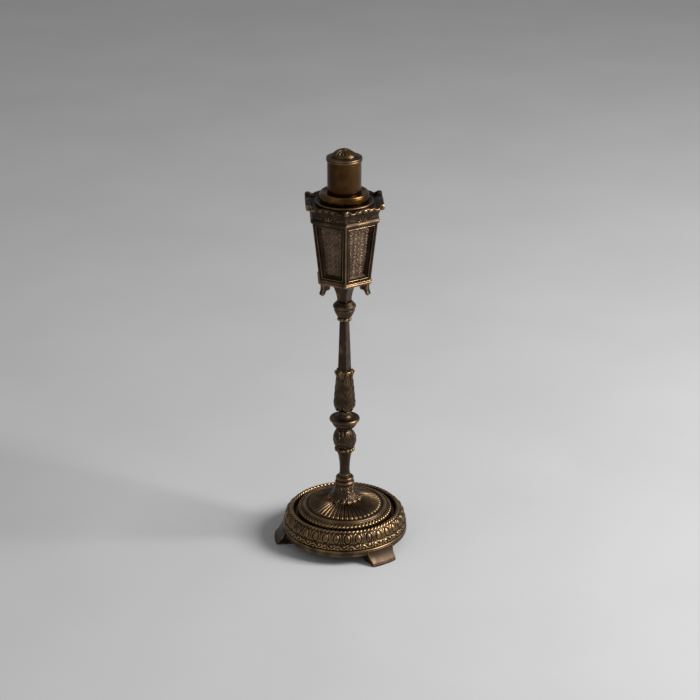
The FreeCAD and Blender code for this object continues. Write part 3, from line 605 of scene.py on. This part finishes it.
def disc_relief(r, z, angle):
    """Rounded lobes on the cup under the rim."""
    level = z - DISC
    lobes = dome_of(phase(angle, DISC_LOBES, STEM_TURN) / 0.49, 0 * angle)
    return DISC_LOBE_HEIGHT * lobes * within(level, 0.8, 5.0, 0.8) * (r > 5.0)


turned("disc_knop", [
    (BORE, DISC),
    (5.0, DISC, 50),
    (9.4, DISC + 5.2),
    (9.4, DISC + 5.7),
    (11.0, DISC + 6.3, 125),
    (11.0, DISC + 9.2),
    (9.7, DISC + 9.6),
    (8.4, DISC + 9.2, -50),
    (5.0, DISC + 12.0),
    (4.9, DISC + 14.6),
    (BORE, DISC + 14.6),
], step=0.22, around=440, relief=disc_relief, gain=3.0)

# The acanthus vase is a bronze casting on the rod. Four long leaves climb from the disc and turn out at the
# lip, with a narrower leaf behind each gap.
VASE = foot_of("acanthus_vase")
VASE_LEAVES = 4
VASE_LEAF_HEIGHT = 1.3
VASE_CURL = 0.9


def vase_relief(r, z, angle):
    """Long lobed leaves with turned-out tips, over a second row between them."""
    up = along(z - VASE, 0.6, 34.2)
    between = STEM_TURN + 180 / VASE_LEAVES
    front = leaf(phase(angle, VASE_LEAVES, STEM_TURN), up, width=0.52, lobes=6)
    back = leaf(phase(angle, VASE_LEAVES, between), up * 0.95, width=0.24, lobes=5)
    height = VASE_LEAF_HEIGHT + VASE_CURL * smooth((up - 0.82) / 0.18)
    return np.maximum(height * front, 0.9 * back) * (r > 4.6)


turned("acanthus_vase", [
    (BORE, VASE),
    (4.7, VASE, 60),
    (7.4, VASE + 9.6, 4),
    (5.7, VASE + 27.9, -35),
    (6.5, VASE + 33.2),
    (5.9, VASE + 34.4),
    (BORE, VASE + 34.4),
], step=0.28, around=480, relief=vase_relief, gain=3.0)

# A slender square shaft of cast bronze tapers up out of the vase. It stands turned a little from the lantern
# above it, as the rod lets it.
TAPER = foot_of("tapered_shaft")


def sided_plan(sides, first, crisp, hole_r, wall_r):
    """A polygon with softened corners, as the share of the corner radius reached in each direction: the
    flat's distance over a high power mean of the cosines to the flats. A hole stays round up to hole_r,
    and the plan is a full polygon from wall_r out."""
    reach = math.cos(math.pi / sides)
    flats = math.radians(first) + TURN / sides * (np.arange(sides) + 0.5)

    def plan(r, angle):
        cosines = np.clip(np.cos(angle[..., None] - flats), 0, None)
        polygon = reach / ((cosines**crisp).sum(-1) ** (1 / crisp))
        return 1 + (polygon - 1) * smooth(along(r, hole_r, wall_r))

    return plan


SQUARE = sided_plan(sides=4, first=STEM_TURN, crisp=26, hole_r=BORE, wall_r=3.9)
turned("tapered_shaft", [
    (BORE, TAPER),
    (6.0, TAPER),
    (5.4, TAPER + 1.2),
    (3.95, TAPER + 40.6),
    (4.1, TAPER + 41.0),
    (4.1, TAPER + 41.7),
    (BORE, TAPER + 41.7),
], step=0.35, around=240, plan=SQUARE)

# The urn knop under the lantern is cast and turned: a ring with small leaf tips, a gadrooned cup and a plain
# roll.
URN = foot_of("urn_knop")
URN_TIPS = 8
URN_LOBE_HEIGHT = 0.45


def urn_relief(r, z, angle):
    """Leaf tips on the lower ring and shallow lobes up the cup."""
    level = z - URN
    tips = dome_of(phase(angle, URN_TIPS, STEM_TURN) / 0.46, (level - 1.1) / 1.3) * (r > 4.0) * (level < 2.3)
    lobes = dome_of(phase(angle, 2 * URN_TIPS, STEM_TURN) / 0.49, 0 * angle)
    return tips + URN_LOBE_HEIGHT * lobes * within(level, 2.8, 9.0, 0.8) * (r > 4.4)


turned("urn_knop", [
    (BORE, URN),
    (4.3, URN, 100),
    (4.3, URN + 2.2),
    (4.5, URN + 2.4, 20),
    (7.8, URN + 9.3),
    (7.5, URN + 9.8),
    (8.0, URN + 9.9, 110),
    (8.0, URN + 13.1),
    (6.0, URN + 15.4),
    (BORE, URN + 15.4),
], step=0.2, around=400, relief=urn_relief, gain=3.0)

# The neck is a square bronze casting that flares in a hollow curve. The lantern's floor rests on it, and the
# rod's upper nut holds the two together.
NECK = foot_of("lantern_neck")
turned("lantern_neck", [
    (BORE, NECK),
    (5.75, NECK),
    (6.0, NECK + 0.8),
    (5.8, NECK + 1.6, -16),
    (8.6, NECK + 11.6, -24),
    (14.0, NECK + 18.0),
    (BORE, NECK + 18.0),
], step=0.3, around=240, plan=SQUARE)

# The lantern stands on a six-sided floor plate of cast bronze with a rounded, worn edge. The rod's upper nut
# draws it down on the neck.
PLATE = foot_of("bottom_plate")
PLATE_PLAN = sided_plan(sides=6, first=0, crisp=90, hole_r=BORE, wall_r=22.0)
turned("bottom_plate", [
    (BORE, PLATE),
    (22.6, PLATE),
    (22.9, PLATE + 0.3, 110),
    (22.9, PLATE + 2.0),
    (22.5, PLATE + 2.3),
    (22.5, PLATE + 2.9),
    (BORE, PLATE + 2.9),
], step=0.22, around=360, plan=PLATE_PLAN, gain=4.0, soften=1)

# Scrolled pendants of cast bronze hang under every second corner of the plate. Each is the nut of a bolt
# that clamps plate, sides and crown together.
PENDANT_FACING = {"pendant_right": 60, "pendant_left": -60, "pendant_back": 180}
PENDANT_HALF = 2.2
PENDANT_OUTLINE = [
    (13.7, PLATE - 0.1),
    (13.6, PLATE - 3.6, 130),
    (16.0, PLATE - 5.4, -40),
    (18.9, PLATE - 8.6, 170),
    (21.5, PLATE - 8.2, -40),
    (20.6, PLATE - 0.1),
]


def pendant_half(level):
    """Half the pendant's width, the same all the way down."""
    return np.full_like(level, PENDANT_HALF)


for node, facing in PENDANT_FACING.items():
    bracket(node, PENDANT_OUTLINE, pendant_half, facing, bevel=0.6, step=0.3, soften=3)

# The lantern's six sides are cast bronze frames, mitred at the corners and clamped between plate and crown.
# Each leans out and has a stepped and beaded border round a deep window.
FACES = {
    "front_right": 30,
    "right": 90,
    "back_right": 150,
    "back_left": -150,
    "left": -90,
    "front_left": -30,
}
SIDE_LOW = foot_of("side_frame_left")
SIDE_TALL = top_of("side_frame_left") - SIDE_LOW
LOW_R = 22.3
HIGH_R = 28.0
FLAT = math.cos(math.pi / 6)
SLANT = math.hypot((HIGH_R - LOW_R) * FLAT, SIDE_TALL)
RISE_OUT = (HIGH_R - LOW_R) * FLAT / SLANT
RISE_UP = SIDE_TALL / SLANT
FRAME_DEEP = 2.6
PANEL_DEEP = 3.1
BORDER_SIDE = 5.6
BORDER_LOW = 5.2
BORDER_HIGH = 3.6


def on_side(across, up, out, facing):
    """Points of a leaning side: across its width, up its slope and out along its normal."""
    reach = LOW_R * FLAT + RISE_OUT * up + RISE_UP * out
    level = SIDE_LOW + RISE_UP * up - RISE_OUT * out
    a = math.radians(facing)
    x = reach * math.sin(a) + across * math.cos(a)
    y = -reach * math.cos(a) + across * math.sin(a)
    return np.stack([x, y, level], -1)


# The border's section, from the back round to the window: the share of the way in to the panel, how far out
# of the face it stands and how worn it is. A flat strip, a groove, a bead, a step and a sloping reveal.
BORDER = np.array([
    (0.27, -FRAME_DEEP, 0.4),
    (0.03, -0.5, 0.52),
    (0.0, -0.2, 0.74),
    (0.035, 0.0, 0.68),
    (0.085, 0.0, 0.43),
    (0.30, 0.0, 0.42),
    (0.33, -0.35, 0.25),
    (0.38, -0.35, 0.25),
    (0.41, -0.05, 0.5),
    (0.455, 0.05, 0.72),
    (0.50, -0.1, 0.48),
    (0.53, -0.55, 0.3),
    (0.60, -0.7, 0.42),
    (0.64, -1.2, 0.3),
    (0.70, -1.3, 0.4),
    (0.97, -2.7, 0.36),
    (1.0, -PANEL_DEEP - 0.15, 0.2),
])
OUTER = np.array([(-LOW_R / 2, 0.0), (LOW_R / 2, 0.0), (HIGH_R / 2, SLANT), (-HIGH_R / 2, SLANT)])
WINDOW = np.array([
    (BORDER_SIDE - LOW_R / 2, BORDER_LOW),
    (LOW_R / 2 - BORDER_SIDE, BORDER_LOW),
    (HIGH_R / 2 - BORDER_SIDE, SLANT - BORDER_HIGH),
    (BORDER_SIDE - HIGH_R / 2, SLANT - BORDER_HIGH),
])
CORNERS = len(OUTER)
for name, facing in FACES.items():
    share = BORDER[:, :1, None]
    ring = OUTER[None] * (1 - share) + WINDOW[None] * share
    points = on_side(ring[..., 0], ring[..., 1], BORDER[:, 1:2] + np.zeros(CORNERS), facing)
    wear = BORDER[:, 2:] + np.zeros(CORNERS)
    faces = wrapped_faces(len(BORDER), CORNERS)
    node = "side_frame_" + name
    add_mesh(node, points.reshape(-1, 3), faces, wear, AGED_BRONZE, "stand", sharp=20)

# Behind each window is a thin bronze panel, cast with paired scrolls on a stippled ground about a middle
# stem. The frame and the crown hold it in place.
PANEL_ROWS = 190
PANEL_COLS = 110
PANEL_BACK = FRAME_DEEP + 1.2
SCROLL_PITCH = 4.5
SCROLL_R = 2.2
SCROLL_ROWS = 12
PANEL_SCROLL_HEIGHT = 0.34
STIPPLE_HEIGHT = 0.22
# Two columns of scrolls on each side of the stem: how far out, how far up they start, and which way they
# curl.
COLUMNS = ((2.7, 0.0, 1), (6.7, SCROLL_PITCH / 2, -1))
# Thin cast bronze that was never polished: a warm grey brown, dull, with a coarse grain.
PANEL_BRONZE = patina(
    "panel_bronze",
    tones=("241c17", "75604f", "b0957e"),
    roughness=(0.6, 0.45),
    grain_mm=0.45,
    grain_depth_mm=0.06,
    clouding=0.34,
)


def arabesque(x, y):
    """Height of the ornament: mirrored spirals in rows, a wavy middle stem with a bud between the rows,
    and a fine round stipple. A spiral is a cosine of the angle plus turns of the distance."""
    side = np.abs(x)
    height = np.zeros_like(x)
    for row in range(SCROLL_ROWS):
        middle = 1.4 + row * SCROLL_PITCH
        for at, lift, hand in COLUMNS:
            dx, dy = side - at, y - middle - lift
            far = np.hypot(dx, dy)
            turns = np.cos(hand * (-1) ** row * np.arctan2(dy, dx) + TURN * far / 1.5)
            height = np.maximum(height, np.clip(turns, 0, 1) ** 0.7 * smooth((SCROLL_R - far) / 0.5))
        height = np.maximum(height, dome_of(x / 0.8, (y - middle - SCROLL_PITCH / 2) / 1.2))
    stem = ridge(side - 0.6 - 0.45 * np.sin(TURN * y / SCROLL_PITCH), 0.3)
    stipple = np.sin(x * 6.1 + np.sin(y * 2.3)) * np.sin(y * 6.3 + np.sin(x * 2.9))
    return PANEL_SCROLL_HEIGHT * np.maximum(height, 0.9 * stem) + STIPPLE_HEIGHT * stipple


def slab_faces(rows, cols):
    """Faces of a closed slab: a front grid, strips from its rim to a second rim, and one face behind. The
    front rim's numbers come first, so that the second rim can be laid behind them."""
    grid = np.arange(rows * cols).reshape(rows, cols)
    quads = np.stack([grid[:-1, :-1], grid[:-1, 1:], grid[1:, 1:], grid[1:, :-1]], -1).reshape(-1, 4)
    rim = np.concatenate([grid[0, :-1], grid[:-1, -1], grid[-1, :0:-1], grid[:0:-1, 0]])
    behind = rows * cols + np.arange(len(rim))
    strips = np.stack([np.roll(rim, -1), rim, behind, np.roll(behind, -1)], -1)
    return rim, quads.tolist() + strips.tolist() + [behind[::-1].tolist()]


PANEL_RIM, PANEL_FACES = slab_faces(PANEL_ROWS, PANEL_COLS)
PANEL_INSET = FRAME_DEEP * math.tan(math.pi / 6) + 0.05
for name, facing in FACES.items():
    up = np.linspace(0.3, SLANT - 0.3, PANEL_ROWS)[:, None] + np.zeros(PANEL_COLS)
    half = (LOW_R + (HIGH_R - LOW_R) * up / SLANT) / 2 - PANEL_INSET
    across = half * np.linspace(-1, 1, PANEL_COLS)[None, :]
    relief = arabesque(across, up) * smooth((half - np.abs(across)) / 0.4)
    front = on_side(across, up, relief - PANEL_DEEP, facing).reshape(-1, 3)
    back = on_side(across * 0.95, up, np.full_like(up, -PANEL_BACK), facing).reshape(-1, 3)
    vertices = np.concatenate([front, back[PANEL_RIM]])
    front_wear = np.clip(0.42 + 0.6 * relief.ravel(), 0, 1)
    wear = np.concatenate([front_wear, np.full(len(PANEL_RIM), 0.4)])
    node = "panel_" + name
    add_mesh(node, vertices, PANEL_FACES, wear, PANEL_BRONZE, "stand", sharp=60)

# The crown is one bronze casting that flares over the sides: a worn bead, a hollow frieze with a palmette on
# each side, a rope rim, and a turned-up ear at every corner. The clamp bolts go through its sunk ledge.
CROWN = foot_of("crown")
LEDGE_R = 13.6
ROPE_BEADS = 36
ROPE_HEIGHT = 0.9
PALMETTE_HEIGHT = 0.8
SIDE_LEAF_HEIGHT = 0.55
RIM_R = 30.5
SIDE_WIDE = 29.0
CROWN_PLAN = sided_plan(sides=6, first=0, crisp=90, hole_r=LEDGE_R, wall_r=24.0)


def crown_relief(r, z, angle):
    """Rope beads under the rim, and on each frieze a fan of ribs with a leaf lying on either side: the fan
    is a cosine of the angle about its foot, cut off at an ellipse."""
    level = z - CROWN
    rope = ROPE_HEIGHT * dome_of(phase(angle, ROPE_BEADS) / 0.47, (level - 11.9) / 1.2) * (r > RIM_R)
    x = SIDE_WIDE * phase(angle, 6, 30)
    y = level - 3.6
    ribs = 0.55 + 0.45 * np.cos(9 * np.arctan2(x, y + 0.6))
    fan = ribs * smooth(2.5 * (1 - np.hypot(x / 5.6, y / 5.0)))
    out = np.abs(x) - 9.0
    leaves = dome_of(out / 3.4, (y - 1.6 - 0.2 * out) / 1.2) * (0.75 + 0.25 * np.cos(TURN * out / 1.7))
    frieze = np.maximum(PALMETTE_HEIGHT * fan, SIDE_LEAF_HEIGHT * leaves)
    return rope + frieze * (r > 27) * within(level, 3.4, 9.2, 0.4)


def crown_rise(r, z, angle):
    """The rim's top edge: an ear at each corner, a dip beside it and a low swell in mid-side."""
    top = smooth((z - CROWN - 11.8) / 1.6) * (r > 27.5)
    c = np.abs(phase(angle, 6))
    ear = np.exp(-((c / 0.085) ** 4))
    return top * (1.5 * ear - 0.7 * ridge(c - 0.17, 0.06) + 0.5 * ridge(c - 0.5, 0.16))


turned("crown", [
    (LEDGE_R, CROWN + 8.0),
    (24.4, CROWN + 8.0),
    (24.6, CROWN),
    (28.7, CROWN, 30),
    (29.4, CROWN + 0.8, 80),
    (29.4, CROWN + 2.2, 30),
    (28.7, CROWN + 2.9),
    (28.3, CROWN + 3.5, -12),
    (29.6, CROWN + 9.0, -40),
    (32.2, CROWN + 11.0),
    (32.9, CROWN + 12.0),
    (33.3, CROWN + 13.0, 90),
    (32.2, CROWN + 13.5),
    (RIM_R + 0.1, CROWN + 13.3),
    (27.2, CROWN + 11.0),
    (20.0, CROWN + 11.0),
    (19.6, CROWN + 10.5),
    (LEDGE_R, CROWN + 10.5),
], step=0.28, around=576, relief=crown_relief, plan=CROWN_PLAN, rise=crown_rise, gain=2.8, flat=0.44)

# Inside the lantern a spun brass font stands on the floor plate. It carries a turned burner collar, a wick
# tube and a wick of plaited cotton.
SPUN_BRASS = clouded(
    "spun_brass",
    tones=("8f6d36", "c49c56"),
    metallic=1.0,
    roughness=(0.26, 0.42),
    cloud_mm=6.0,
    grain_mm=0.5,
    grain_depth_mm=0.01,
)
finish_solids(("oil_font", "burner_collar", "wick_tube"), SPUN_BRASS)
# Cotton is matt and off-white, with threads about a third of a millimetre wide.
COTTON = clouded(
    "plaited_cotton",
    tones=("b0a283", "d8ceb6"),
    metallic=0.0,
    roughness=(0.85, 0.95),
    cloud_mm=0.9,
    grain_mm=0.35,
    grain_depth_mm=0.12,
)
finish_solids(("wick",), COTTON)

# The chimney lid lifts out of the crown. Its flange is turned in bronze, with a raised edge and a skirt that
# drops into the crown's ledge.
FLANGE = foot_of("lid_flange") + 4.0
turned("lid_flange", [
    (11.9, FLANGE - 4.0),
    (13.3, FLANGE - 4.0),
    (13.3, FLANGE),
    (22.0, FLANGE),
    (22.0, FLANGE + 1.8, 90),
    (21.0, FLANGE + 2.8),
    (20.4, FLANGE + 1.8),
    (11.9, FLANGE + 1.8),
], body="chimney", step=0.25, around=256, gain=3.0)

# The drum on the flange is spun brass, polished and never darkened, so it shines more than the castings. It
# bulges to a rounded lip and is soldered down.
DRUM = foot_of("lid_collar")
POLISHED_BRASS = patina(
    "polished_brass",
    tones=("2a1d12", "563c22", "c4984f"),
    roughness=(0.32, 0.2),
    grain_mm=1.6,
    grain_depth_mm=0.01,
    clouding=0.16,
)
turned("lid_collar", [
    (16.8, DRUM),
    (18.4, DRUM, 48),
    (18.2, DRUM + 6.4, 90),
    (16.6, DRUM + 7.8),
    (16.0, DRUM + 7.6, -20),
    (14.2, DRUM + 6.5),
    (12.8, DRUM + 6.4),
    (12.8, DRUM + 5.2),
    (16.8, DRUM + 5.2),
], POLISHED_BRASS, "chimney", step=0.25, around=288, gain=2.0)

# The chimney is drawn brass tube, soldered into the drum. Heat has browned it, so it is darker than the drum
# and shows only soft streaks of light.
TUBE = foot_of("chimney_tube")
HEATED_BRASS = patina(
    "heated_brass",
    tones=("20160c", "49321c", "97723f"),
    roughness=(0.36, 0.24),
    grain_mm=1.6,
    grain_depth_mm=0.01,
    clouding=0.2,
)
turned("chimney_tube", [
    (11.9, TUBE),
    (12.7, TUBE),
    (12.7, TUBE + 32.8),
    (11.9, TUBE + 32.8),
], HEATED_BRASS, "chimney", step=0.4, around=256, soften=1, gain=1.5)

# The cap's ring is turned in bronze: two beads and a sloping shelf. A short spigot under it slips into the
# tube, so the cap lifts off.
RING = foot_of("cap_ring") + 4.0
turned("cap_ring", [
    (12.8, RING - 1.6),
    (13.1, RING - 1.6, 110),
    (13.1, RING, 110),
    (13.1, RING + 1.3),
    (9.9, RING + 1.9),
    (8.4, RING + 1.9),
    (8.4, RING),
    (11.0, RING),
    (11.0, RING - 4.0),
    (11.8, RING - 4.0),
    (11.8, RING),
    (12.8, RING),
], body="cap", step=0.18, around=256, gain=3.5, soften=1)

# The cap's dome is a small bronze casting pressed into the ring. Radial ribs run up to a button, with vent
# slots sunk between them.
CAP = foot_of("cap_dome") + 1.6
RIBS = 16
SLOT_DEPTH = 0.75


def cap_relief(r, z, angle):
    """Slots sunk between the ribs of the dome's upper side."""
    level = z - CAP
    slot = smooth((0.3 - np.abs(phase(angle, RIBS))) / 0.12) * within(r, 3.0, 7.8, 0.6)
    return -SLOT_DEPTH * slot * (level > 1.0) * (level > 5.3 - r * 0.62)


weld(turned("cap_dome", [
    (0.0, CAP + 4.7),
    (1.7, CAP + 4.7, -50),
    (7.3, CAP),
    (7.3, CAP - 1.6),
    (8.3, CAP - 1.6),
    (8.3, CAP),
    (9.4, CAP),
    (9.4, CAP + 0.7, 50),
    (1.9, CAP + 5.15),
    (1.7, CAP + 5.55),
    (0.6, CAP + 5.7),
    (0.0, CAP + 5.7),
], body="cap", step=0.16, around=384, relief=cap_relief, gain=3.0, soften=0))

# The stage is a pale paper floor, one soft window light from the right and a weak fill from the left. Lights
# and camera are placed in metres.
FLOOR_HALF = 6.0
FLOOR_CORNERS = [(-1, -1), (1, -1), (1, 1), (-1, 1)]
floor_mesh = bpy.data.meshes.new("floor")
floor_mesh.from_pydata([(FLOOR_HALF * x, FLOOR_HALF * y, 0) for x, y in FLOOR_CORNERS], [], [(0, 1, 2, 3)])
PAPER = clouded(
    "backdrop_paper",
    tones=("cbcbcb", "cfcfcf"),
    metallic=0.0,
    roughness=(0.88, 0.92),
    cloud_mm=160.0,
    grain_mm=2.0,
    grain_depth_mm=0.02,
)
floor_mesh.materials.append(PAPER)
floor = bpy.data.objects.new("floor", floor_mesh)
bpy.context.scene.collection.objects.link(floor)


def soft_light(name, place, aim, size, power):
    """A square lamp that faces a point: its -Z is turned to the point and its +Y is kept up."""
    light = bpy.data.lights.new(name, "AREA")
    light.size = size
    light.energy = power
    holder = bpy.data.objects.new(name, light)
    holder.location = place
    x, y, z = np.array(aim) - np.array(place)
    holder.rotation_euler = (math.atan2(math.hypot(x, y), -z), 0, -math.atan2(x, y))
    bpy.context.scene.collection.objects.link(holder)


LIT_POINT = (0, 0, 0.15)
soft_light("window", place=(1.4, -0.4, 1.15), aim=LIT_POINT, size=0.8, power=38)
soft_light("fill", place=(-1.3, -1.4, 1.2), aim=LIT_POINT, size=1.4, power=2.5)
world = bpy.data.worlds.new("room")
bpy.context.scene.world = world
world.use_nodes = True
world.node_tree.nodes["Background"].inputs["Color"].default_value = linear("c5c5c7")
world.node_tree.nodes["Background"].inputs["Strength"].default_value = 0.42

# The camera stands where the photograph's did: a little over a metre in front and above, looking down. The
# focal length is in pixels of a picture 700 wide.
CAMERA_TURN = math.radians(-2.7)
CAMERA_DOWN = math.radians(22.98)
CAMERA_AWAY = 1.332
CAMERA_ASIDE = 0.0042
CAMERA_HIGH = 0.7265
FOCAL_PIXELS = 1885
PICTURE_PIXELS = 700
SENSOR = 36.0
camera_data = bpy.data.cameras.new("camera")
camera_data.sensor_width = SENSOR
camera_data.lens = FOCAL_PIXELS / PICTURE_PIXELS * SENSOR
camera = bpy.data.objects.new("camera", camera_data)
camera.location = (
    CAMERA_ASIDE * math.cos(CAMERA_TURN) + CAMERA_AWAY * math.sin(CAMERA_TURN),
    CAMERA_ASIDE * math.sin(CAMERA_TURN) - CAMERA_AWAY * math.cos(CAMERA_TURN),
    CAMERA_HIGH,
)
camera.rotation_euler = (math.pi / 2 - CAMERA_DOWN, 0, CAMERA_TURN)
bpy.context.scene.collection.objects.link(camera)
bpy.context.scene.camera = camera
bpy.context.scene.view_settings.view_transform = "Standard"
